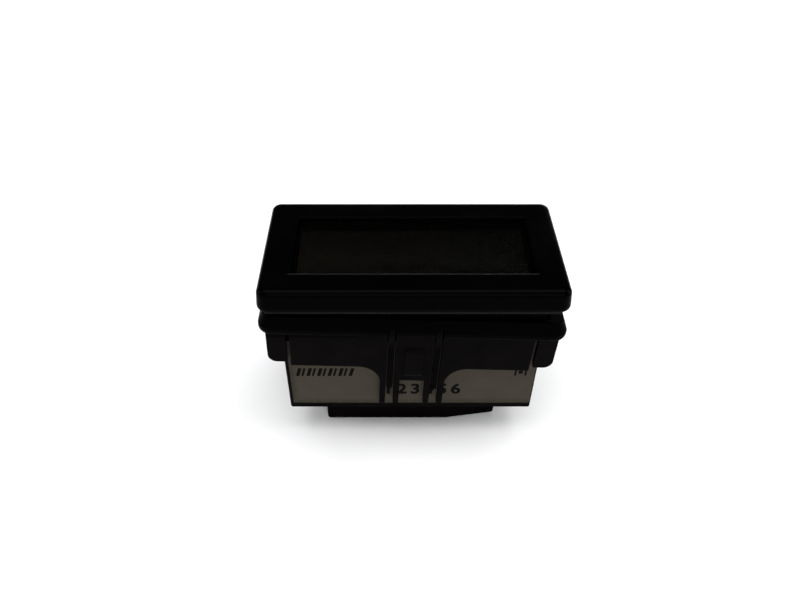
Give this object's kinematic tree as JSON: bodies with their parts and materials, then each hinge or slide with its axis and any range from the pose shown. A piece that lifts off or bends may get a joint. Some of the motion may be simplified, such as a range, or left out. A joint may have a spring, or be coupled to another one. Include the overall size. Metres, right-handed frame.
{
  "type": "panel-mount counter display module",
  "caption": "Small panel-mount LCD counter with a rectangular bezel, a slide-on mounting clip, a label on its case and a rear screw terminal block.",
  "frame": {"origin": "below the centre of the face, on the plane the terminal block stands on", "axes": "+Z towards the display face, +X along the long side of the face, +Y towards the wire entries"},
  "size_m": [0.0485, 0.0248, 0.0357],
  "materials": {
    "bezel_plastic": "glossy moulded black",
    "lens_clear": "clear polished acrylic",
    "mask_black": "printed black film",
    "seal_rubber": "soft black seal",
    "polariser": "dark grey-green film",
    "polariser_rear": "grey-green reflective film",
    "lcd_glass": "thin display glass",
    "zebra_rubber": "layered contact rubber",
    "case_plastic": "fine-textured black",
    "clip_plastic": "semi-matte black, slightly brown",
    "block_plastic": "semi-matte black",
    "board_green": "solder-masked glass laminate",
    "chip_epoxy": "moulded epoxy",
    "capacitor_ceramic": "fired tan",
    "tin_leads": "tinned",
    "cell_sleeve": "printed shrink sleeve",
    "cage_steel": "zinc plated",
    "screw_steel": "zinc plated",
    "label_film": "grey-taupe printed film"
  },
  "bodies": {
    "module": {"front_bezel": "bezel_plastic", "display_lens": "lens_clear", "window_mask": "mask_black", "panel_gasket": "seal_rubber", "lcd_front_polariser": "polariser", "lcd_front_glass": "lcd_glass", "lcd_rear_glass": "lcd_glass", "lcd_rear_polariser": "polariser_rear", "zebra_strip_front": "zebra_rubber", "zebra_strip_back": "zebra_rubber", "lcd_holder": "case_plastic", "display_board": "board_green", "counter_chip": "chip_epoxy", "chip_leads": "tin_leads", "clock_crystal": "tin_leads", "board_capacitors": "capacitor_ceramic", "board_resistors": "chip_epoxy", "board_link_pins": "tin_leads", "lithium_cell": "cell_sleeve", "cell_tab_positive": "tin_leads", "cell_tab_negative": "tin_leads", "cell_cradle": "case_plastic", "terminal_board": "board_green", "terminal_block": "block_plastic", "terminal_pins": "tin_leads", "case_body": "case_plastic", "rear_cover": "case_plastic", "rating_label": "label_film"},
    "clip": {"mounting_clip": "clip_plastic"},
    "screw_1": {"terminal_screw_1": "screw_steel"},
    "cage_1": {"terminal_cage_1": "cage_steel"},
    "screw_2": {"terminal_screw_2": "screw_steel"},
    "cage_2": {"terminal_cage_2": "cage_steel"},
    "screw_3": {"terminal_screw_3": "screw_steel"},
    "cage_3": {"terminal_cage_3": "cage_steel"},
    "screw_4": {"terminal_screw_4": "screw_steel"},
    "cage_4": {"terminal_cage_4": "cage_steel"},
    "screw_5": {"terminal_screw_5": "screw_steel"},
    "cage_5": {"terminal_cage_5": "cage_steel"},
    "screw_6": {"terminal_screw_6": "screw_steel"},
    "cage_6": {"terminal_cage_6": "cage_steel"}
  },
  "joints": [
    {"name": "clip_slide", "type": "slide", "parent": "module", "child": "clip", "axis": [0, 0, -1], "range_m": [0, 0.01]},
    {"name": "screw_1_turn", "type": "hinge", "parent": "module", "child": "screw_1", "pos_m": [-0.0127, -0.001, 0.001], "axis": [0, 0, 1], "range_deg": [0, 1441]},
    {"name": "cage_1_rise", "type": "slide", "parent": "module", "child": "cage_1", "axis": [0, 0, -1], "range_m": [0, 0.002]},
    {"name": "screw_2_turn", "type": "hinge", "parent": "module", "child": "screw_2", "pos_m": [-0.00762, -0.001, 0.001], "axis": [0, 0, 1], "range_deg": [0, 1441]},
    {"name": "cage_2_rise", "type": "slide", "parent": "module", "child": "cage_2", "axis": [0, 0, -1], "range_m": [0, 0.002]},
    {"name": "screw_3_turn", "type": "hinge", "parent": "module", "child": "screw_3", "pos_m": [-0.00254, -0.001, 0.001], "axis": [0, 0, 1], "range_deg": [0, 1441]},
    {"name": "cage_3_rise", "type": "slide", "parent": "module", "child": "cage_3", "axis": [0, 0, -1], "range_m": [0, 0.002]},
    {"name": "screw_4_turn", "type": "hinge", "parent": "module", "child": "screw_4", "pos_m": [0.00254, -0.001, 0.001], "axis": [0, 0, 1], "range_deg": [0, 1441]},
    {"name": "cage_4_rise", "type": "slide", "parent": "module", "child": "cage_4", "axis": [0, 0, -1], "range_m": [0, 0.002]},
    {"name": "screw_5_turn", "type": "hinge", "parent": "module", "child": "screw_5", "pos_m": [0.00762, -0.001, 0.001], "axis": [0, 0, 1], "range_deg": [0, 1441]},
    {"name": "cage_5_rise", "type": "slide", "parent": "module", "child": "cage_5", "axis": [0, 0, -1], "range_m": [0, 0.002]},
    {"name": "screw_6_turn", "type": "hinge", "parent": "module", "child": "screw_6", "pos_m": [0.0127, -0.001, 0.001], "axis": [0, 0, 1], "range_deg": [0, 1441]},
    {"name": "cage_6_rise", "type": "slide", "parent": "module", "child": "cage_6", "axis": [0, 0, -1], "range_m": [0, 0.002]}
  ],
  "couplings": [
    {"joint": "screw_1_turn", "follows": "cage_1_rise", "rad_per_m": 12566},
    {"joint": "screw_2_turn", "follows": "cage_2_rise", "rad_per_m": 12566},
    {"joint": "screw_3_turn", "follows": "cage_3_rise", "rad_per_m": 12566},
    {"joint": "screw_4_turn", "follows": "cage_4_rise", "rad_per_m": 12566},
    {"joint": "screw_5_turn", "follows": "cage_5_rise", "rad_per_m": 12566},
    {"joint": "screw_6_turn", "follows": "cage_6_rise", "rad_per_m": 12566}
  ]
}
